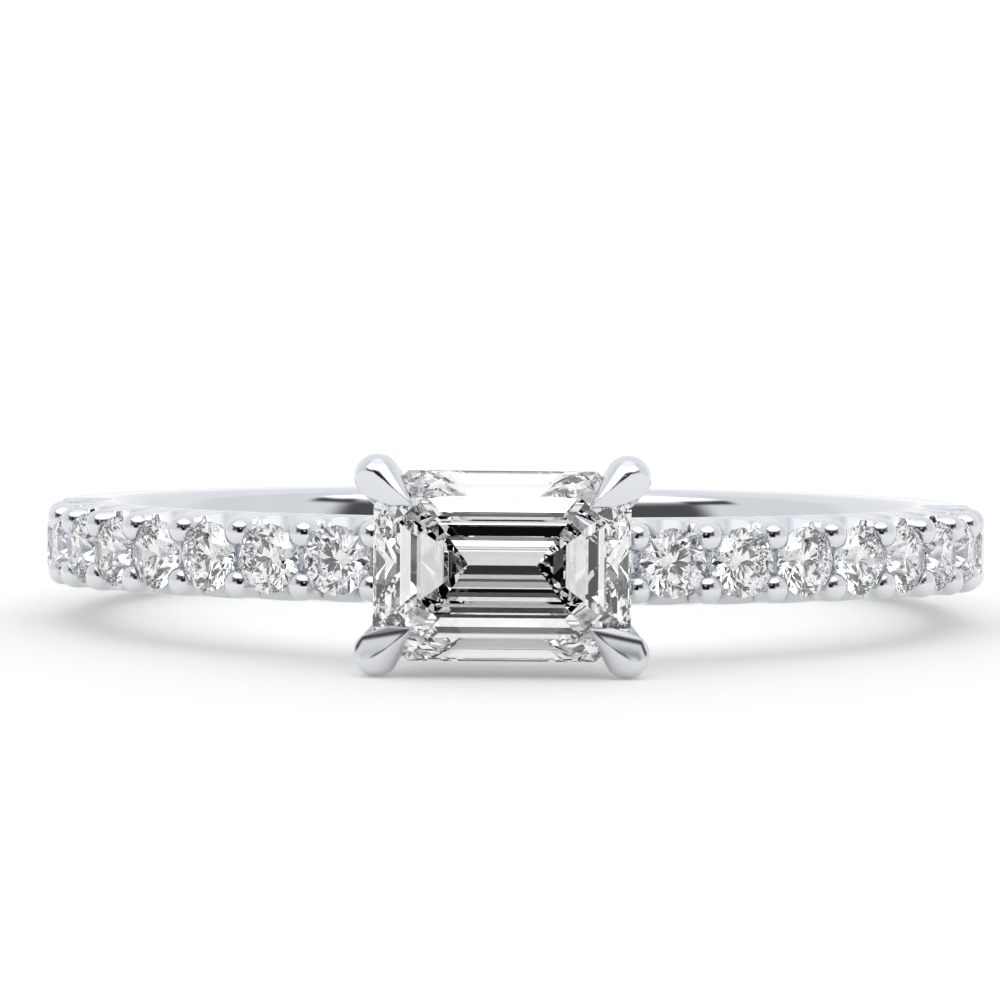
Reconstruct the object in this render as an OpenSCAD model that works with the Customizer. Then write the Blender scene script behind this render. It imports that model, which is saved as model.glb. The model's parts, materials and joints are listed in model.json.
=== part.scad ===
// Ring with an emerald-cut stone set across the finger in four claws,
// and a row of round stones down each arm of the band.
// The ring lies on its side, the stone's table facing -Y and slightly up.

/* [Finger] */
// Inner diameter of the band
finger_d = 16.5; // [15:0.1:20]

/* [Band] */
// Width of the band along the finger, at its back and at the finger hole
band_w = 1.86; // [1.8:0.02:2.2]
// Width of the two arms at the level of the ledge
arm_w = 1.66; // [1.6:0.02:1.76]
// Wall of the plain back
back_t = 1.5; // [1.3:0.05:1.7]
// Wall under the side stones, up to the ledge that they sit on
ledge_t = 1.25; // [1.1:0.05:1.4]
// Wall left under the scallops between the beads
rail_t = 0.82; // [0.7:0.02:0.95]
// Depth of the scallops, in from the arms' edges
scallop_depth = 0.34; // [0.2:0.02:0.4]
// Wall that keeps the full width before the arms start to narrow
foot_t = 0.3; // [0.25:0.01:0.4]
// Rounding of the band's four edges
edge_r = 0.2; // [0.1:0.02:0.3]

/* [Centre stone] */
// Length of the centre stone, across the finger
stone_l = 5.35; // [5:0.05:6.5]
// Width of the centre stone, along the finger
stone_w = 3.95; // [3.6:0.05:4.6]
// Height of its crown above the girdle
crown_h = 0.662; // [0.45:0.002:0.75]
// Thickness of its girdle
girdle_h = 0.08; // [0.05:0.01:0.12]
// Depth of its pavilion below the girdle
pavilion_h = 1.865; // [1.6:0.005:2.1]
// Border of crown facets round its table
table_inset = 0.926; // [0.7:0.002:1.1]
// Setback of its cut corners
corner_cut = 0.72; // [0.5:0.02:0.9]

/* [Head] */
// Height of the centre stone's keel above the finger hole
keel_rise = 1.085; // [0.9:0.005:1.8]
// Diameter of a claw where it wraps the stone
claw_d = 0.96; // [0.8:0.02:1.1]
// Diameter of a claw at its foot
foot_d = 0.84; // [0.7:0.02:0.95]
// How far a claw's centre stands outside the girdle's cut corner
claw_out = 0.36; // [0.3:0.01:0.4]
// Length of a claw's pointed tip over the crown
tip_l = 0.9; // [0.7:0.05:1]
// Diameter of the very tip
tip_d = 0.2; // [0.16:0.02:0.24]
// Distance between the claw feet across the finger
foot_span = 3.1; // [2.6:0.1:3.6]
// Height of the gallery rail that joins the claws under the girdle
gallery_h = 0.34; // [0.25:0.01:0.45]
// Wall of the gallery rail
gallery_t = 0.36; // [0.3:0.02:0.45]
// Drop of the gallery rail's top below the girdle
gallery_drop = 0.5; // [0.4:0.05:0.7]
// How far the gallery rail lies inside the girdle's outline
gallery_inset = 0.06; // [0.02:0.01:0.1]

/* [Side stones] */
// Number of side stones on each arm
side_count = 8; // [4:1:9]
// Diameter of a side stone
side_d = 1.48; // [1.3:0.02:1.54]
// Gap between neighbouring side stones, at their girdles
side_gap = 0.115; // [0.08:0.01:0.2]
// Distance along the band from the centre stone's end to the first side stone's centre
side_start = 0.91; // [0.85:0.01:1.2]
// Height of a side stone's girdle above the ledge
side_rise = 0.24; // [0.2:0.01:0.28]
// Diameter of a bead that holds two stones
bead_d = 0.6; // [0.54:0.02:0.64]
// Distance between the centres of an upper and a lower bead
bead_span = 1.1; // [1.06:0.02:1.16]
// Height of a bead's top above the side stones' girdles
bead_rise = 0.26; // [0.22:0.01:0.3]
// Diameter of the hole behind each side stone
azure_d = 0.7; // [0.5:0.02:0.72]

/* [Fits] */
// Gap between a stone and the metal round it
seat_gap = 0.025; // [0.02:0.005:0.04]

/* [Hidden] */
$fn = 48;
CURVE = 192;
bore_r = finger_d / 2;
back_r = bore_r + back_t;
ledge_r = bore_r + ledge_t;
rail_r = bore_r + rail_t;
cut_past = 1;

// Side stones: proportions of a round brilliant, as shares of its diameter
BR_TABLE = 0.57;
BR_CROWN = 0.15;
BR_GIRDLE = 0.03;
BR_PAVILION = 0.43;
BR_STAR = 0.78;
BR_LOWER = 0.26;
side_r = side_d / 2;
side_girdle_r = ledge_r + side_rise;
side_pitch = (side_d + side_gap) / side_girdle_r * 180 / PI;
first_side = (stone_l / 2 + side_start) / side_girdle_r * 180 / PI;
last_bead = first_side + (side_count - 0.5) * side_pitch;
bead_top_r = side_girdle_r + bead_rise;
scallop_r = (side_pitch * PI / 180 * side_girdle_r - bead_d) / 2;

// Centre stone: each step's share of its border, its share of the height and its share of the corner
CROWN_STEPS = [[0, 0, 1], [0.278, 0.464, 0.88], [0.543, 0.846, 0.77], [1, 1, 0.58]];
PAVILION_STEPS = [[0, 0, 1], [0.311, 0.453, 0.65], [0.402, 0.559, 0.45], [1, 1, 0]];
keel_r = bore_r + keel_rise;
girdle_r = keel_r + pavilion_h;
table_r = girdle_r + girdle_h + crown_h;

// Claws: which way they stand off the corner and point over it, the centre of the ball
// at a claw's shoulder, and the point where its foot ends in the band
CLAW_ANGLE = 38;
TIP_ANGLE = 42;
TIP_RISE = 0.56;
FOOT_RISE = 0.55;
FOOT_PROUD = 0.07;
neck_d = claw_d - 0.03;
shoulder = [
    (stone_l - corner_cut) / 2 + claw_out * cos(CLAW_ANGLE),
    (stone_w - corner_cut) / 2 + claw_out * sin(CLAW_ANGLE),
    girdle_r + girdle_h
];
tip = shoulder + [-tip_l * cos(TIP_ANGLE), -tip_l * sin(TIP_ANGLE), TIP_RISE];
foot = [foot_span / 2, (band_w - foot_d) / 2 + FOOT_PROUD, bore_r + FOOT_RISE];

// Lying on its side, the ring rests on its two lower claws and the rim of its back
lever = shoulder[2] + back_r - edge_r;
drop = shoulder[1] - band_w / 2 + edge_r;
tilt = atan(drop / lever) + asin((claw_d / 2 - edge_r) / norm([lever, drop]));
lift = (back_r - edge_r) * sin(tilt) + (band_w / 2 - edge_r) * cos(tilt) + edge_r;
front_reach = max(
    table_r * cos(tilt) + (stone_w / 2 - table_inset) * sin(tilt),
    tip[2] * cos(tilt) + tip[1] * sin(tilt) + tip_d / 2
);
back_reach = (back_r - edge_r) * cos(tilt) + (band_w / 2 - edge_r) * sin(tilt) + edge_r;
centre_y = (front_reach - back_reach) / 2;

function side_name(arm, i) = str("side_stone_", arm < 0 ? "l" : "r", i + 1);

// Lays the ring on its side, with the middle of its outer box over the origin
module laid() {
    translate([0, centre_y, lift]) rotate([-tilt, 0, 0]) children();
}

// A frame for the head: +Z out through the stone's table, X across the finger
module head_frame() {
    rotate([90, 0, 0]) children();
}

// A frame on the band at an angle from the head, +Z outwards, at the given radius
module on_band(angle, r) {
    rotate([0, 0, angle]) translate([0, -r, 0]) head_frame() children();
}

module rod(from, to, d1, d2) {
    run = to - from;
    translate(from)
        rotate([0, acos(run[2] / norm(run)), atan2(run[1], run[0])])
            cylinder(h = norm(run), d1 = d1, d2 = d2);
}

// Eight corners of a rectangle with cut corners, as 3D points
function cut_corners(a, b, c, z) = [
    [a, b - c, z], [a - c, b, z], [-(a - c), b, z], [-a, b - c, z],
    [-a, -(b - c), z], [-(a - c), -b, z], [a - c, -b, z], [a, -(b - c), z]
];

function flat(points) = [for (p = points) [p[0], p[1]]];

// A solid through rings of equally many corners, lowest ring first
module stacked(rings) {
    n = len(rings[0]);
    sides = [
        for (k = [0 : len(rings) - 2], i = [0 : n - 1])
            [k * n + i, (k + 1) * n + i, (k + 1) * n + (i + 1) % n, k * n + (i + 1) % n]
    ];
    polyhedron(
        points = [for (r = rings) each r],
        faces = concat(
            [[for (i = [0 : n - 1]) i]],
            sides,
            [[for (i = [n - 1 : -1 : 0]) (len(rings) - 1) * n + i]]
        )
    );
}

// Emerald cut with its girdle's lower edge at z = 0, grown all round by a gap
module emerald(gap = 0) {
    half_l = stone_l / 2 + gap;
    half_w = stone_w / 2 + gap;
    cut = corner_cut + gap * (2 - sqrt(2));
    keel_w = 0.002;
    lower = [
        for (i = [len(PAVILION_STEPS) - 1 : -1 : 0])
            let (s = PAVILION_STEPS[i], inset = s[0] * (half_w - keel_w))
                cut_corners(half_l - inset, half_w - inset,
                    max(cut * s[2], keel_w / 2), -pavilion_h * s[1] - gap * (i > 0 ? 1.3 : 0))
    ];
    upper = [
        for (i = [0 : len(CROWN_STEPS) - 1])
            let (s = CROWN_STEPS[i], inset = s[0] * table_inset)
                cut_corners(half_l - inset, half_w - inset,
                    cut * s[2], girdle_h + crown_h * s[1] + gap)
    ];
    stacked(concat(lower, upper));
}

// Round brilliant with the middle of its girdle at z = 0
module brilliant() {
    crown = side_d * BR_CROWN;
    pavilion = side_d * BR_PAVILION;
    half_g = side_d * BR_GIRDLE / 2;
    table = side_r * BR_TABLE;
    star = side_r * BR_STAR;
    lower = side_r * BR_LOWER;
    star_z = half_g + crown * (side_r - star * cos(22.5)) / (side_r - table);
    lower_z = -half_g - pavilion * (1 - lower * cos(22.5) / side_r);
    points = concat(
        [for (i = [0 : 7]) [table * cos(45 * i), table * sin(45 * i), half_g + crown]],
        [for (i = [0 : 7]) [star * cos(45 * i + 22.5), star * sin(45 * i + 22.5), star_z]],
        [for (i = [0 : 15]) [side_r * cos(22.5 * i), side_r * sin(22.5 * i), half_g]],
        [for (i = [0 : 15]) [side_r * cos(22.5 * i), side_r * sin(22.5 * i), -half_g]],
        [for (i = [0 : 7]) [lower * cos(45 * i + 22.5), lower * sin(45 * i + 22.5), lower_z]],
        [[0, 0, -half_g - pavilion]]
    );
    function next(i) = (i + 1) % 8;
    function prev(i) = (i + 7) % 8;
    faces = concat(
        [[for (i = [7 : -1 : 0]) i]],
        [for (i = [0 : 7]) [i, next(i), 8 + i]],
        [for (i = [0 : 7]) [i, 8 + i, 16 + 2 * i, 8 + prev(i)]],
        [for (i = [0 : 7]) [8 + i, 17 + 2 * i, 16 + 2 * i]],
        [for (i = [0 : 7]) [8 + i, 16 + 2 * next(i), 17 + 2 * i]],
        [for (i = [0 : 15]) [16 + i, 16 + (i + 1) % 16, 32 + (i + 1) % 16, 32 + i]],
        [for (i = [0 : 7]) [32 + 2 * i, 33 + 2 * i, 48 + i]],
        [for (i = [0 : 7]) [33 + 2 * i, 32 + 2 * next(i), 48 + i]],
        [for (i = [0 : 7]) [56, 48 + prev(i), 32 + 2 * i, 48 + i]]
    );
    polyhedron(points = points, faces = faces);
}

// Hollow for a side stone, a gap wider than the stone all round
module side_seat() {
    half_g = side_d * BR_GIRDLE / 2;
    star = side_r * BR_STAR;
    star_z = half_g + side_d * BR_CROWN * (side_r - star * cos(22.5)) / (side_r * (1 - BR_TABLE));
    rotate_extrude() polygon([
        [0, -half_g - side_d * BR_PAVILION - 2 * seat_gap],
        [side_r + seat_gap, -half_g - seat_gap],
        [side_r + seat_gap, half_g + seat_gap / 2],
        [star + seat_gap, star_z + seat_gap],
        [star + seat_gap, side_d],
        [0, side_d]
    ]);
}

// Section of the band, outwards along +X from the finger hole
module band_section() {
    long = band_w - 2 * edge_r;
    translate([bore_r, -long / 2]) square([back_t, long]);
    translate([bore_r + edge_r, -band_w / 2]) square([back_t - 2 * edge_r, band_w]);
    for (x = [bore_r + edge_r, back_r - edge_r], y = [-long / 2, long / 2])
        translate([x, y]) circle(r = edge_r);
}

// Section of an arm: full width at the finger hole, narrower at the ledge
module arm_section() {
    polygon([
        [bore_r - cut_past, -band_w], [bore_r + foot_t, -band_w], [bore_r + foot_t, -band_w / 2],
        [ledge_r, -arm_w / 2], [ledge_r, arm_w / 2],
        [bore_r + foot_t, band_w / 2], [bore_r + foot_t, band_w], [bore_r - cut_past, band_w]
    ]);
}

// The round hoop, with a ledge and narrower sides along both arms and under the head
module shank() {
    difference() {
        rotate_extrude($fn = CURVE) band_section();
        rotate([0, 0, -90 - last_bead])
            rotate_extrude(angle = 2 * last_bead, $fn = CURVE)
                difference() {
                    translate([bore_r - cut_past, -band_w])
                        square([back_t + 2 * cut_past, 2 * band_w]);
                    arm_section();
                }
    }
}

// Holes through the band behind the side stones
module azures() {
    for (arm = [-1, 1], i = [0 : side_count - 1])
        on_band(arm * (first_side + i * side_pitch), bore_r)
            cylinder(h = 2 * ledge_t, d = azure_d, center = true);
}

// U-shaped cuts in both edges of the band, one pair under each side stone
module scallops() {
    side_cut = arm_w / 2 - scallop_depth;
    for (arm = [-1, 1], i = [0 : side_count - 1], face = [-1, 1])
        on_band(arm * (first_side + i * side_pitch), rail_r + scallop_r)
            translate([0, face * (side_cut + cut_past / 2), 0])
                rotate([90, 0, 0]) cylinder(h = cut_past, r = scallop_r, center = true);
}

// One round-topped bead on its post, standing in the band
module bead() {
    post = bead_top_r - rail_r;
    rotate_extrude() {
        square([bead_d / 2, post - bead_d / 2]);
        intersection() {
            translate([0, post - bead_d / 2]) circle(d = bead_d);
            translate([0, post - bead_d]) square([bead_d, bead_d]);
        }
    }
}

// Pairs of beads before, between and after the side stones of both arms
module beads() {
    for (arm = [-1, 1], i = [0 : side_count], face = [-1, 1])
        on_band(arm * (first_side + (i - 0.5) * side_pitch), rail_r)
            translate([0, face * bead_span / 2, 0]) bead();
}

// One claw: a tapered wire from the band, and a pointed ball over the stone's corner
module claw(x, y) {
    function side(p) = [x * p[0], y * p[1], p[2]];
    rod(side(foot), side(shoulder), foot_d, neck_d);
    hull() {
        translate(side(shoulder)) sphere(d = claw_d, $fn = 32);
        translate(side(tip)) sphere(d = tip_d, $fn = 16);
    }
}

// Rail under the girdle that ties the four claws together
module gallery() {
    a = stone_l / 2 - gallery_inset;
    b = stone_w / 2 - gallery_inset;
    translate([0, 0, girdle_r - gallery_drop - gallery_h])
        linear_extrude(gallery_h)
            difference() {
                polygon(flat(cut_corners(a, b, corner_cut, 0)));
                polygon(flat(cut_corners(a - gallery_t, b - gallery_t, corner_cut, 0)));
            }
}

module head() {
    head_frame() {
        for (x = [-1, 1], y = [-1, 1]) claw(x, y);
        gallery();
    }
}

// All the metal, cast and soldered as one
module ring_setting() {
    color("gainsboro") laid() difference() {
        union() {
            difference() {
                shank();
                scallops();
                azures();
            }
            beads();
            head();
        }
        cylinder(h = 4 * band_w, r = bore_r, center = true, $fn = CURVE);
        head_frame() translate([0, 0, girdle_r]) emerald(seat_gap);
        for (arm = [-1, 1], i = [0 : side_count - 1])
            on_band(arm * (first_side + i * side_pitch), side_girdle_r) side_seat();
    }
}

module centre_stone() {
    color("lightcyan") laid() head_frame() translate([0, 0, girdle_r]) emerald();
}

module side_stone(arm, i) {
    color("azure") laid()
        on_band(arm * (first_side + i * side_pitch), side_girdle_r) brilliant();
}

ring_setting();
centre_stone();
for (arm = [-1, 1], i = [0 : side_count - 1])
    side_stone(arm, i);
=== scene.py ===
import json
import math
import bpy
from mathutils import Matrix, Quaternion, Vector


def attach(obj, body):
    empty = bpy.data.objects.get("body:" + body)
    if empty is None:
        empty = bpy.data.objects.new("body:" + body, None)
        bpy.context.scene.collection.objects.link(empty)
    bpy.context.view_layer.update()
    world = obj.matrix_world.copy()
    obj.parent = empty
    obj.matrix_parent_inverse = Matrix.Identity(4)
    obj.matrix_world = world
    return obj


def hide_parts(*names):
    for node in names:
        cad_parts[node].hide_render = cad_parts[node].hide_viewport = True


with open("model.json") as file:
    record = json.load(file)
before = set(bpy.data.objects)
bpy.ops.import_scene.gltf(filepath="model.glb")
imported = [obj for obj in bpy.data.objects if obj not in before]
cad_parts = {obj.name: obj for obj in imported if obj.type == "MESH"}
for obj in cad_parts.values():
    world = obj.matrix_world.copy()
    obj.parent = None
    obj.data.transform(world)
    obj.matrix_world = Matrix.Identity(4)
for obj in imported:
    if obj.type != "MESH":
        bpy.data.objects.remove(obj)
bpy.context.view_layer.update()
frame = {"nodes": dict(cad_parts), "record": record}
nodes = frame["nodes"]

# The finger hole tells where the ring lies. Its pieces are modelled in millimetres round that
# hole, with the hole's axis along Z and the head towards -Y, and laid in place when they are done
hole = next(m for m in frame["record"]["mounts"] if m["name"] == "finger_hole")
holeRadius = hole["dims"]["r_mm"]
holeAxis = Vector(hole["axis"])
holeAxis = -holeAxis if holeAxis.z < 0 else holeAxis
ringLaid = (
    Matrix.Translation(hole["pos_m"])
    @ Matrix.Rotation(-math.atan2(holeAxis.y, holeAxis.z), 4, "X")
    @ Matrix.Scale(0.001, 4)
)
headTurn = Matrix.Rotation(math.radians(90), 4, "X")  # +Z out through the centre stone's table
hair = 1e-4  # lengths that differ by less count as the same


def bandFrame(angle, radius):  # on the band, +Z outwards, X along the band, Y across it
    return Matrix.Rotation(angle, 4, "Z") @ Matrix.Translation((0, -radius, 0)) @ headTurn


def stoneAngle(node):
    points = [ringLaid.inverted() @ v.co for v in node.data.vertices]
    middle = sum(points, Vector()) / len(points)
    return math.atan2(middle.x, -middle.y)


arms = {
    side: sorted(
        (stoneAngle(nodes[n]) for n in nodes if n.startswith("side_stone_" + side)), key=abs
    )
    for side in "lr"
}
sideAngles = arms["l"] + arms["r"]
pitch = (arms["r"][-1] - arms["r"][0]) / (len(arms["r"]) - 1)


def pick(*objects):
    bpy.ops.object.select_all(action="DESELECT")
    for obj in objects:
        obj.select_set(True)
    bpy.context.view_layer.objects.active = objects[0]


def edit():
    bpy.ops.object.mode_set(mode="EDIT")
    bpy.ops.mesh.select_mode(type="VERT")
    bpy.ops.mesh.select_all(action="SELECT")


def done():
    bpy.ops.object.mode_set(mode="OBJECT")


def selectWhere(kind, test):  # kind is vertices, edges or polygons
    bpy.ops.mesh.select_all(action="DESELECT")
    done()
    mesh = bpy.context.active_object.data
    for part in getattr(mesh, kind):
        if kind == "edges":
            ends = [mesh.vertices[i].co for i in part.vertices]
            part.select = test(*ends)
        else:
            part.select = test(part)
    bpy.ops.object.mode_set(mode="EDIT")


def tidy(obj, near=1e-5):
    pick(obj)
    edit()
    bpy.ops.mesh.remove_doubles(threshold=near)
    bpy.ops.mesh.normals_make_consistent(inside=False)
    done()


def settle(obj, place=Matrix.Identity(4)):  # puts the place into the mesh
    pick(obj)
    obj.matrix_world = place @ obj.matrix_world
    bpy.ops.object.transform_apply(location=True, rotation=True, scale=True)


def copies(obj, places, name):  # a copy with its own mesh at each place, all joined
    made = []
    for place in places:
        pick(obj)
        bpy.ops.object.duplicate(linked=False)
        one = bpy.context.active_object
        settle(one, place)
        made.append(one)
    bpy.data.objects.remove(obj)
    pick(*made)
    bpy.ops.object.join()
    made[0].name = name
    return made[0]


def combine(obj, tool, operation="DIFFERENCE"):
    pick(obj)
    step = obj.modifiers.new("step", "BOOLEAN")
    step.operation = operation
    step.solver = "MANIFOLD"
    step.object = tool
    bpy.ops.object.modifier_apply(modifier=step.name)
    bpy.data.objects.remove(tool)
    return obj


def drawn(name, points, closed=False):  # a line drawn by extruding one point
    bpy.ops.object.select_all(action="DESELECT")
    bpy.ops.mesh.primitive_plane_add(size=0.1)
    obj = bpy.context.active_object
    obj.name = name
    edit()
    bpy.ops.mesh.merge(type="CENTER")
    bpy.ops.transform.translate(value=points[0])
    for here, there in zip(points, points[1:]):
        step = Vector(there) - Vector(here)
        bpy.ops.mesh.extrude_region_move(TRANSFORM_OT_translate={"value": step})
    if closed:
        bpy.ops.mesh.select_all(action="SELECT")
        bpy.ops.mesh.edge_face_add()
    return obj


def turned(name, profile, steps):  # profile as radius and height, turned about Z, pole to pole
    obj = drawn(name, [(r, 0, z) for r, z in profile])
    bpy.ops.mesh.select_all(action="SELECT")
    bpy.ops.mesh.spin(steps=steps, angle=2 * math.pi, center=(0, 0, 0), axis=(0, 0, 1),
                      use_auto_merge=True)
    done()
    tidy(obj)
    return obj


def arc(centre, radius, start, end, steps):  # points of an arc in a profile, angles in degrees
    turns = [math.radians(start + (end - start) * i / steps) for i in range(steps + 1)]
    return [(centre[0] + radius * math.cos(t), centre[1] + radius * math.sin(t)) for t in turns]


# Shank. Its thicknesses are counted from the finger hole
shankSizes = {
    "width": 1.86,
    "armWidth": 1.66,  # along the ledge that carries the side stones
    "back": 1.4999,
    "ledge": 1.25,
    "rail": 0.82,  # what the scallops leave under the ledge
    "foot": 0.3,  # from here outwards the arms narrow
    "edge": 0.2,
    "edgeSteps": 5,
    "crown": 2.0,  # radius of the finger side's curve, from edge to edge
    "crownSteps": 6,  # on each side of the middle
    "steps": 360,
    "reliefSteps": 200,
}
railRadius = holeRadius + shankSizes["rail"]
ledgeRadius = holeRadius + shankSizes["ledge"]
backRadius = holeRadius + shankSizes["back"]
lastBead = arms["r"][-1] + pitch / 2


def makeShank():
    s = shankSizes
    edge = s["width"] / 2
    n = s["crownSteps"]
    inside = [edge * (i / n - 1) for i in range(2 * n + 1)]  # the finger side is a little crowned
    crown = [(holeRadius + s["crown"] - math.sqrt(s["crown"] ** 2 - z * z), 0, z) for z in inside]
    outside = [(backRadius, 0, edge), (backRadius, 0, -edge)]
    shank = drawn("shank", crown + outside, closed=True)
    selectWhere("vertices", lambda v: abs(v.co.z) > edge - hair)
    bpy.ops.mesh.bevel(offset=s["edge"], segments=s["edgeSteps"], affect="VERTICES")
    bpy.ops.mesh.select_all(action="SELECT")
    bpy.ops.mesh.delete(type="ONLY_FACE")
    bpy.ops.mesh.select_all(action="SELECT")
    bpy.ops.mesh.spin(steps=s["steps"], angle=2 * math.pi, center=(0, 0, 0), axis=(0, 0, 1),
                      use_auto_merge=True)
    done()
    tidy(shank)
    # The arms are cut down to the ledge, and narrow towards it
    slope = (s["width"] - s["armWidth"]) / 2 / (s["ledge"] - s["foot"])
    reach = 0.5  # how far the cutter goes in past the foot
    low = holeRadius + s["foot"] - reach
    half = s["width"] / 2 + reach * slope
    armHalf = s["armWidth"] / 2
    past = backRadius + 1  # clear of the metal
    wide = s["width"]
    relief = drawn(
        "relief",
        [(low, 0, -half), (ledgeRadius, 0, -armHalf), (ledgeRadius, 0, armHalf), (low, 0, half),
         (low, 0, wide), (past, 0, wide), (past, 0, -wide), (low, 0, -wide)],
        closed=True,
    )
    bpy.ops.mesh.select_all(action="SELECT")
    bpy.ops.mesh.spin(steps=s["reliefSteps"], angle=2 * lastBead, center=(0, 0, 0),
                      axis=(0, 0, 1))
    done()
    tidy(relief)
    # The spin starts at +X and goes clockwise, and its middle is turned to -Y, where the head is
    settle(relief, Matrix.Rotation(lastBead - math.pi / 2, 4, "Z"))
    return combine(shank, relief)


# Side stones, with the sizes that their nodes have
sideStone = {"radius": 0.74, "aboveLedge": 0.24, "stars": 8}
sideGirdle = ledgeRadius + sideStone["aboveLedge"]

# Scallops in both edges of the arms, and a hole behind each side stone
scallopSizes = {"depth": 0.34, "beadRoom": 0.6, "steps": 48}
holeSizes = {"diameter": 0.7, "depth": 2.5, "steps": 40}


def makeScallops():
    s = scallopSizes
    radius = (pitch * sideGirdle - s["beadRoom"]) / 2
    bottom = shankSizes["armWidth"] / 2 - s["depth"]
    length = 1  # of the cutter, from the scallop's bottom outwards
    bpy.ops.object.select_all(action="DESELECT")
    bpy.ops.mesh.primitive_cylinder_add(vertices=s["steps"], radius=radius, depth=length,
                                        rotation=(math.pi / 2, 0, 0))
    tool = bpy.context.active_object
    settle(tool)
    places = [
        bandFrame(a, railRadius + radius)
        @ Matrix.Translation((0, face * (bottom + length / 2), 0))
        for a in sideAngles for face in (-1, 1)
    ]
    return copies(tool, places, "scallops")


def makeHoles():
    s = holeSizes
    bpy.ops.object.select_all(action="DESELECT")
    bpy.ops.mesh.primitive_cylinder_add(vertices=s["steps"], radius=s["diameter"] / 2,
                                        depth=s["depth"])
    tool = bpy.context.active_object
    return copies(tool, [bandFrame(a, holeRadius) for a in sideAngles], "holes")


# Beads that hold the side stones, in pairs
beadSizes = {
    "width": 0.64,
    "span": 1.08,  # from the middle of a lower bead to the middle of the upper one
    "rise": 0.2598,  # of the bead's top above the side stones' girdle
    "cuts": 9,
    "roundness": 0.9,
    "post": 1.05,  # length of the shaft that joins a bead to the ledge
}


def makeBeads():
    s = beadSizes
    bpy.ops.object.select_all(action="DESELECT")
    bpy.ops.mesh.primitive_cube_add(size=1)
    bead = bpy.context.active_object
    edit()
    bpy.ops.mesh.subdivide(number_cuts=s["cuts"])
    bpy.ops.transform.tosphere(value=s["roundness"], center_override=(0, 0, 0))
    done()
    grow = s["width"] / bead.dimensions.x
    edit()
    bpy.ops.transform.resize(value=(grow, grow, grow), center_override=(0, 0, 0))
    bpy.ops.mesh.bisect(plane_co=(0, 0, 0), plane_no=(0, 0, 1), clear_inner=True, use_fill=True)
    selectWhere("polygons", lambda p: p.normal.z < -0.9)  # the face that the cut left
    bpy.ops.mesh.extrude_region_move(TRANSFORM_OT_translate={"value": (0, 0, -s["post"])})
    done()
    tidy(bead)
    top = sideGirdle + s["rise"] - s["width"] / 2
    places = []
    for side, sign in (("l", -1), ("r", 1)):
        first = arms[side][0] - sign * pitch / 2
        for i in range(len(arms[side]) + 1):
            for face in (-1, 1):
                places.append(
                    bandFrame(first + sign * i * pitch, top)
                    @ Matrix.Translation((0, face * s["span"] / 2, 0))
                )
    return copies(bead, places, "beads")


# Seats of the side stones, cut a little wider than the stones
seatSizes = {
    "gap": 0.025,
    "top": 1.2,
    "steps": 48,
    "table": 0.57,  # from here on as shares of the stone's radius or width
    "crown": 0.15,
    "girdle": 0.03,
    "pavilion": 0.43,
    "star": 0.78,
}


def makeSeats():
    s = seatSizes
    gap, radius = s["gap"], sideStone["radius"]
    halfGirdle = radius * s["girdle"]
    star = radius * s["star"]
    slope = 2 * s["crown"] / (1 - s["table"])
    starZ = halfGirdle + slope * (radius - star * math.cos(math.pi / sideStone["stars"]))
    seat = turned("seat", [
        (0, -halfGirdle - 2 * radius * s["pavilion"] - 2 * gap),
        (radius + gap, -halfGirdle - gap),
        (radius + gap, halfGirdle + gap / 2),
        (star + gap, starZ + gap),
        (star + gap, s["top"]),
        (0, s["top"]),
    ], s["steps"])
    return copies(seat, [bandFrame(a, sideGirdle) for a in sideAngles], "seats")


# Head: four claws and the rail under the girdle. A claw's places are given along the band, across
# it and out from the middle of the finger hole
clawSizes = {
    "foot": (1.55, 0.58, 8.8),
    "shoulder": (2.599, 1.837, 11.28),
    "tip": (1.93, 1.234, 11.84),
    "footRadius": 0.42,
    "neckRadius": 0.465,
    "ballRadius": 0.48,
    "tipRadius": 0.1,
    "flatTurn": 41,  # how far the filed flat leans from the claw's top, in degrees
    "flatDepth": 0.37,
    "flatFall": 21,  # how steeply the flat falls to the tip
    "neckEnd": 0.05,
    "steps": 40,
    "footSteps": 8,
    "ballSteps": 22,
    "tipSteps": 6,
}


def alongZ(start, end):  # a frame at start with +Z towards end
    run = Vector(end) - Vector(start)
    return Matrix.Translation(start) @ run.to_track_quat("Z", "Y").to_matrix().to_4x4()


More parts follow.
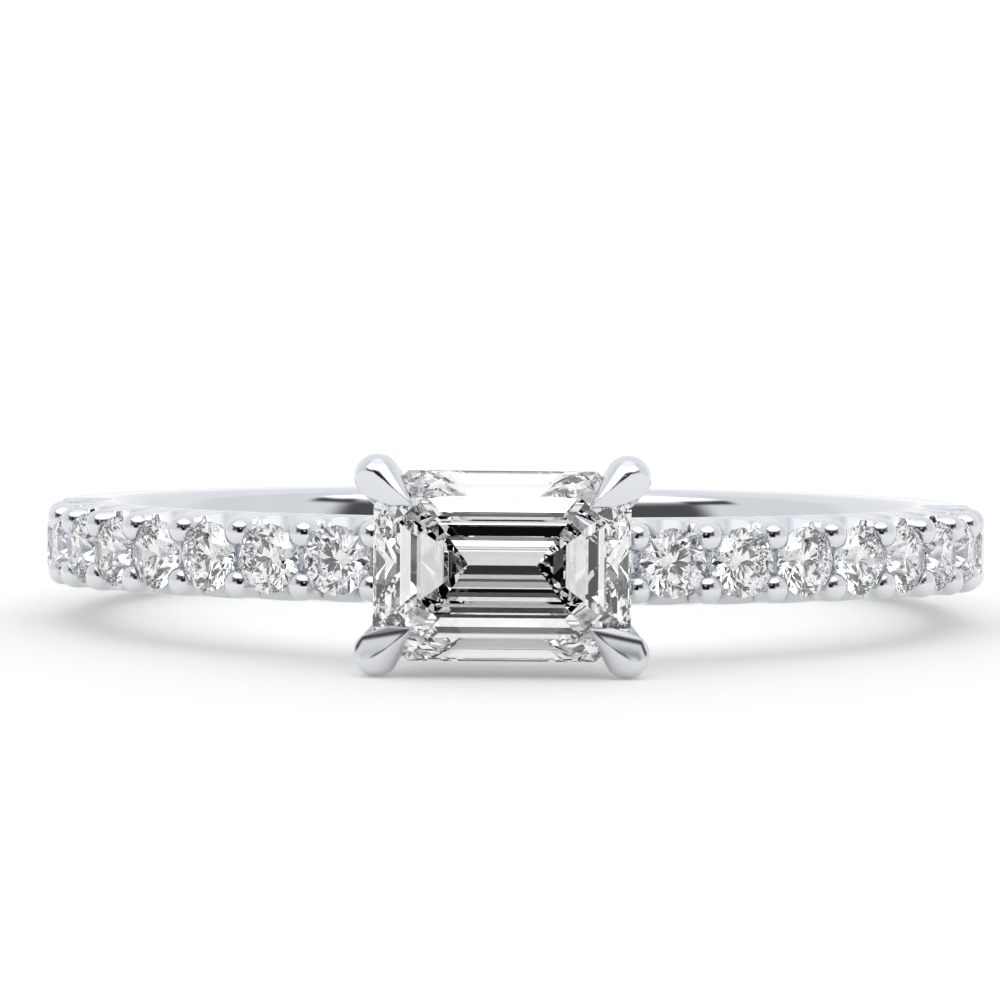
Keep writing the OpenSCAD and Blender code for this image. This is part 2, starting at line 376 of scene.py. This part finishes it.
def makeClaws():
    s = clawSizes
    foot, shoulder, tip = Vector(s["foot"]), Vector(s["shoulder"]), Vector(s["tip"])
    wireRun, tipRun = (shoulder - foot).length, (tip - shoulder).length
    wire = turned("wire", [
        *arc((0, 0), s["footRadius"], -90, 0, s["footSteps"]),
        (s["neckRadius"], wireRun - s["neckEnd"]),
        (0, wireRun),
    ], s["steps"])
    settle(wire, alongZ(foot, shoulder))
    lean = math.degrees(math.asin((s["ballRadius"] - s["tipRadius"]) / tipRun))
    ball = turned("ball", [
        *arc((0, 0), s["ballRadius"], -90, lean, s["ballSteps"]),
        *arc((0, tipRun), s["tipRadius"], lean, 90, s["tipSteps"]),
    ], s["steps"])
    settle(ball, alongZ(shoulder, tip))
    # A flat is filed on each claw's outer side, and leaves a ridge down to the tip
    ahead = (tip - shoulder).normalized()
    side = ahead.cross(Vector((0, 0, 1))).normalized()
    up = side.cross(ahead)
    turn, fall = math.radians(s["flatTurn"]), math.radians(s["flatFall"])
    normal = math.cos(turn) * up - math.sin(turn) * side
    normal = math.cos(fall) * normal + math.sin(fall) * ahead
    pick(ball)
    edit()
    bpy.ops.mesh.bisect(plane_co=shoulder + s["flatDepth"] * normal, plane_no=normal,
                        clear_outer=True, use_fill=True)
    done()
    tidy(ball)
    claw = combine(ball, wire, "UNION")
    half = Matrix.Rotation(math.pi, 4, "Z")
    other = Matrix.Scale(-1, 4, (1, 0, 0))
    places = [headTurn @ m for m in (Matrix.Identity(4), half, other, half @ other)]
    claws = copies(claw, places, "claws")
    tidy(claws)
    return claws


gallerySizes = {
    "length": 5.23,
    "width": 3.83,
    "corner": 0.72,
    "wall": 0.36,
    "height": 0.34,
    "bottom": 10.36,  # out from the middle of the finger hole
    "edge": 0.06,
    "edgeSteps": 3,
}


def makeGallery():
    s = gallerySizes
    bpy.ops.object.select_all(action="DESELECT")
    bpy.ops.mesh.primitive_plane_add(size=1, location=(0, 0, s["bottom"]))
    rail = bpy.context.active_object
    settle(rail)
    edit()
    bpy.ops.transform.resize(value=(s["length"], s["width"], 1))
    bpy.ops.mesh.bevel(offset=s["corner"], segments=1, affect="VERTICES", offset_type="OFFSET")
    bpy.ops.mesh.select_all(action="SELECT")
    bpy.ops.mesh.inset(thickness=s["wall"])
    bpy.ops.mesh.delete(type="FACE")
    bpy.ops.mesh.select_all(action="SELECT")
    bpy.ops.mesh.extrude_region_move(TRANSFORM_OT_translate={"value": (0, 0, s["height"])})
    bpy.ops.mesh.select_all(action="SELECT")
    bpy.ops.mesh.normals_make_consistent(inside=False)
    selectWhere("edges", lambda a, b: abs(a.z - b.z) < hair)  # all but the upright ones
    bpy.ops.mesh.bevel(offset=s["edge"], segments=s["edgeSteps"])
    done()
    settle(rail, headTurn)
    rail.name = "gallery"
    tidy(rail)
    return rail


def stoneEnvelope(grow=seatSizes["gap"]):  # the centre stone, a gap larger all round
    pick(nodes["centre_stone"])
    bpy.ops.object.duplicate(linked=False)
    stone = bpy.context.active_object
    stone.parent = None
    for key in list(stone.keys()):
        del stone[key]
    settle(stone, ringLaid.inverted())
    tidy(stone, hair)
    sizes = stone.dimensions.copy()
    corners = [Vector(c) for c in stone.bound_box]
    middle = sum(corners, Vector()) / len(corners)
    edit()
    bpy.ops.transform.resize(value=[1 + 2 * grow / d for d in sizes], center_override=middle)
    done()
    return stone


smoothBelow = 32  # the angle in degrees up to which two faces are shaded as one

print("stage: shank")
metal = makeShank()
combine(metal, makeScallops())
combine(metal, makeHoles())
print("stage: beads")
combine(metal, makeBeads(), "UNION")
print("stage: head")
combine(metal, makeClaws(), "UNION")
combine(metal, makeGallery(), "UNION")
print("stage: seats")
combine(metal, makeSeats())
combine(metal, stoneEnvelope())
tidy(metal)
print("faces", len(metal.data.polygons), "size", tuple(metal.dimensions))
bpy.ops.object.shade_smooth_by_angle(angle=math.radians(smoothBelow))
metal.name = "ring_metal"
settle(metal, ringLaid)
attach(metal, "root")
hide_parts("ring_setting")


# Where a Mix node has its sockets, for colours and for plain numbers
colorMix = {"factor": 0, "a": 6, "b": 7, "result": 2}
floatMix = {"factor": 0, "a": 2, "b": 3, "result": 0}


def newMaterial(name):
    material = bpy.data.materials.new(name)
    material.use_nodes = True
    tree = material.node_tree
    tree.nodes.clear()
    out = tree.nodes.new("ShaderNodeOutputMaterial")
    shader = tree.nodes.new("ShaderNodeBsdfPrincipled")
    tree.links.new(shader.outputs["BSDF"], out.inputs["Surface"])
    return material, tree, shader


def node(tree, kind, **values):
    made = tree.nodes.new("ShaderNode" + kind)
    for key, value in values.items():
        if key in made.inputs:
            made.inputs[key].default_value = value
        else:
            setattr(made, key, value)
    return made


def makeCloud():  # two colours mixed by soft noise, and the noise itself, used by the metal and stone materials
    group = bpy.data.node_groups.new("cloud", "ShaderNodeTree")
    socket = group.interface.new_socket
    inputs = {"Scale": "Float", "Detail": "Float", "Low": "Color", "High": "Color"}
    outputs = {"Color": "Color", "Value": "Float"}
    for name, kind in inputs.items():
        socket(name, in_out="INPUT", socket_type="NodeSocket" + kind)
    for name, kind in outputs.items():
        socket(name, in_out="OUTPUT", socket_type="NodeSocket" + kind)
    link = group.links.new
    given = group.nodes.new("NodeGroupInput")
    result = group.nodes.new("NodeGroupOutput")
    where = node(group, "TexCoord")
    noise = node(group, "TexNoise")
    tone = node(group, "Mix", data_type="RGBA")
    link(where.outputs["Object"], noise.inputs["Vector"])
    link(given.outputs["Scale"], noise.inputs["Scale"])
    link(given.outputs["Detail"], noise.inputs["Detail"])
    link(noise.outputs["Fac"], tone.inputs[colorMix["factor"]])
    link(given.outputs["Low"], tone.inputs[colorMix["a"]])
    link(given.outputs["High"], tone.inputs[colorMix["b"]])
    link(tone.outputs[colorMix["result"]], result.inputs["Color"])
    link(noise.outputs["Fac"], result.inputs["Value"])
    return group


cloud = makeCloud()
metalLook = {
    "light": (0.83, 0.845, 0.87, 1),
    "dark": (0.75, 0.765, 0.79, 1),
    "patch": 600,  # noise scale of the lighter and darker patches, and of the ripple
    "patchDetail": 2,
    "grain": 5200,  # noise scale of the polish
    "grainDetail": 3,
    "roughLow": 0.04,
    "roughHigh": 0.1,
    "softEdge": 0.00006,  # in metres, as is the ripple's height
    "softSamples": 6,
    "ripple": 0.03,
    "rippleHeight": 0.00002,
}


def makeMetal():
    s = metalLook
    material, tree, shader = newMaterial("whiteMetal")
    link = tree.links.new
    shader.inputs["Metallic"].default_value = 1
    broad = node(tree, "Group", node_tree=cloud, Scale=s["patch"], Detail=s["patchDetail"],
                 Low=s["dark"], High=s["light"])
    fine = node(tree, "Group", node_tree=cloud, Scale=s["grain"], Detail=s["grainDetail"])
    link(broad.outputs["Color"], shader.inputs["Base Color"])
    rough = node(tree, "MapRange")
    rough.inputs["To Min"].default_value = s["roughLow"]
    rough.inputs["To Max"].default_value = s["roughHigh"]
    link(fine.outputs["Value"], rough.inputs["Value"])
    link(rough.outputs["Result"], shader.inputs["Roughness"])
    edge = node(tree, "Bevel", samples=s["softSamples"])
    edge.inputs["Radius"].default_value = s["softEdge"]
    bump = node(tree, "Bump", Strength=s["ripple"], Distance=s["rippleHeight"])
    link(broad.outputs["Value"], bump.inputs["Height"])
    link(edge.outputs["Normal"], bump.inputs["Normal"])
    link(bump.outputs["Normal"], shader.inputs["Normal"])
    return material


# Stones: clear, with a trace of a warmer tint in soft patches. The side stones are greyer and
# cooler all over, which is painted shade that darkens them against the centre stone
centreLook = {
    "ior": 2.417,
    "clear": (1, 1, 1, 1),
    "tint": (1, 0.99, 0.97, 1),
    "patch": 900,
    "patchDetail": 2,
}
sideLookWithPaintedShade = {
    "ior": 2.417,
    # grey and cool instead of clear: painted shade that darkens the side stones
    "clear": (0.95, 0.96, 0.97, 1),
    "tint": (0.96, 0.955, 0.945, 1),
    "patch": 1400,
    "patchDetail": 2,
}


def makeDiamond(name, look):
    material, tree, shader = newMaterial(name)
    shader.inputs["IOR"].default_value = look["ior"]
    shader.inputs["Transmission Weight"].default_value = 1
    shader.inputs["Roughness"].default_value = 0
    tint = node(tree, "Group", node_tree=cloud, Scale=look["patch"], Detail=look["patchDetail"],
                Low=look["clear"], High=look["tint"])
    tree.links.new(tint.outputs["Color"], shader.inputs["Base Color"])
    return material


print("stage: materials")
metal.data.materials.clear()
metal.data.materials.append(makeMetal())
centreDiamond = makeDiamond("centreDiamond", centreLook)
sideDiamond = makeDiamond("sideDiamond", sideLookWithPaintedShade)
for name, obj in nodes.items():
    if name == "ring_setting":
        obj.material_slots[0].material = metal.data.materials[0]
    else:
        obj.material_slots[0].material = centreDiamond if name == "centre_stone" else sideDiamond

# Floor, a little bright of its own so that it stays pale
floorLook = {
    "size": 4,
    "color": (0.78, 0.775, 0.76, 1),
    "rough": 0.9,
    "specular": 0.1,
    "glowColor": (1, 0.99, 0.97, 1),
    "glow": 0.23,
}
print("stage: floor and studio")
bpy.ops.object.select_all(action="DESELECT")
bpy.ops.mesh.primitive_plane_add(size=floorLook["size"])
floor = bpy.context.active_object
floor.name = "floor"
material, tree, shader = newMaterial("paleFloor")
shader.inputs["Base Color"].default_value = floorLook["color"]
shader.inputs["Roughness"].default_value = floorLook["rough"]
shader.inputs["Specular IOR Level"].default_value = floorLook["specular"]
shader.inputs["Emission Color"].default_value = floorLook["glowColor"]
shader.inputs["Emission Strength"].default_value = floorLook["glow"]
floor.data.materials.append(material)

# Studio: a white dome with windows, lighter or darker fields that lie over it in their order. The
# angles are degrees: 0 is the side of the head, and heights are counted from the horizon
studio = {
    "level": 0.9,
    "overhead": 1.2,
    "overheadFrom": 60,
    "overheadFull": 75,
    "color": (0.965, 0.982, 1, 1),
    "backdrop": 1.2,  # what the camera sees behind the ring
    "backdropColor": (1, 1, 1, 1),
    "windows": [  # left, right, low, high, softness and brightness
        (-75, 75, 40, 66, 4, 2.0),  # bright, high in front
        (-62, 60, 12, 36, 5, 0.13),  # dark, below it
        (-77, -58, 32.5, 39, 2.5, 0.08),  # dark at both its ends, for the lower claws
        (57, 74, 32.5, 39, 2.5, 0.08),
        (-26, 24, -4, 34.5, 1.2, 0.008),  # almost black in the middle
        (-7, 7, 21.5, 29.5, 1.2, 0.95),  # with a slot of light
        (118, 200, -12, 60, 8, 1.0),  # even light behind
        (-200, -118, -12, 60, 8, 1.0),
    ],
}


def makeStudio():
    world = bpy.data.worlds.new("studio")
    bpy.context.scene.world = world
    world.use_nodes = True
    tree = world.node_tree
    tree.nodes.clear()
    link = tree.links.new
    out = node(tree, "OutputWorld")
    seen = node(tree, "Background")
    lit = node(tree, "Background")
    mix = node(tree, "MixShader")
    path = node(tree, "LightPath")
    where = node(tree, "TexCoord")
    split = node(tree, "SeparateXYZ")
    link(where.outputs["Generated"], split.inputs[0])

    def maths(operation, a, b=None):
        made = node(tree, "Math", operation=operation)
        for socket, value in zip(made.inputs, (a, b)):
            if value is None:
                continue
            if isinstance(value, (int, float)):
                socket.default_value = value
            else:
                link(value, socket)
        return made.outputs[0]

    height = maths("ARCSINE", split.outputs["Z"])
    across = maths("ARCTAN2", split.outputs["X"], maths("MULTIPLY", split.outputs["Y"], -1))

    def window(leftEnd, rightEnd, low, high, soft):
        def ramp(value, start, sign):
            made = node(tree, "MapRange", interpolation_type="SMOOTHSTEP")
            link(value, made.inputs["Value"])
            made.inputs["From Min"].default_value = math.radians(start - sign * soft)
            made.inputs["From Max"].default_value = math.radians(start + sign * soft)
            return made.outputs["Result"]

        sides = maths("MULTIPLY", ramp(across, leftEnd, 1), ramp(across, rightEnd, -1))
        ends = maths("MULTIPLY", ramp(height, low, 1), ramp(height, high, -1))
        return maths("MULTIPLY", sides, ends)

    dome = node(tree, "MapRange")
    link(height, dome.inputs["Value"])
    dome.inputs["From Min"].default_value = math.radians(studio["overheadFrom"])
    dome.inputs["From Max"].default_value = math.radians(studio["overheadFull"])
    dome.inputs["To Min"].default_value = studio["level"]
    dome.inputs["To Max"].default_value = studio["overhead"]
    level = dome.outputs["Result"]
    for *spec, tone in studio["windows"]:
        mixed = node(tree, "Mix", data_type="FLOAT")
        link(window(*spec), mixed.inputs[floatMix["factor"]])
        link(level, mixed.inputs[floatMix["a"]])
        mixed.inputs[floatMix["b"]].default_value = tone
        level = mixed.outputs[floatMix["result"]]
    link(level, lit.inputs["Strength"])
    seen.inputs["Strength"].default_value = studio["backdrop"]
    lit.inputs["Color"].default_value = studio["color"]
    seen.inputs["Color"].default_value = studio["backdropColor"]
    link(path.outputs["Is Camera Ray"], mix.inputs[0])
    link(lit.outputs[0], mix.inputs[1])
    link(seen.outputs[0], mix.inputs[2])
    link(mix.outputs[0], out.inputs["Surface"])


makeStudio()

# Camera, at the photograph's angle, aimed a little beside the middle of the finger hole
shot = {
    "azimuth": 1.45,
    "elevation": 5.85,
    "roll": 0.35,
    "distance": 0.4,
    "right": -0.000336,
    "up": 0.000981,
    "lens": 675,
    "sensor": 36,
    "near": 0.01,
    "far": 10,
}
tones = {"exposure": -0.03, "gamma": 0.85}
bounces = {"all": 32, "transmission": 32, "glossy": 16, "diffuse": 4}
turn, rise = math.radians(shot["azimuth"]), math.radians(shot["elevation"])
back = Vector((math.sin(turn) * math.cos(rise), -math.cos(turn) * math.cos(rise), math.sin(rise)))
right = Vector((0, 0, 1)).cross(back).normalized()
up = back.cross(right)
bpy.ops.object.camera_add()
camera = bpy.context.active_object
camera.location = (
    Vector(hole["pos_m"]) + back * shot["distance"] + right * shot["right"] + up * shot["up"]
)
camera.rotation_mode = "QUATERNION"
camera.rotation_quaternion = (-back).to_track_quat("-Z", "Y")
camera.rotation_quaternion @= Quaternion((0, 0, 1), math.radians(shot["roll"]))
camera.data.lens = shot["lens"]
camera.data.sensor_width = shot["sensor"]
camera.data.clip_start = shot["near"]
camera.data.clip_end = shot["far"]
scene = bpy.context.scene
scene.camera = camera
scene.view_settings.view_transform = "Standard"
scene.view_settings.exposure = tones["exposure"]
scene.view_settings.gamma = tones["gamma"]
scene.cycles.max_bounces = bounces["all"]
scene.cycles.transmission_bounces = bounces["transmission"]
scene.cycles.glossy_bounces = bounces["glossy"]
scene.cycles.diffuse_bounces = bounces["diffuse"]
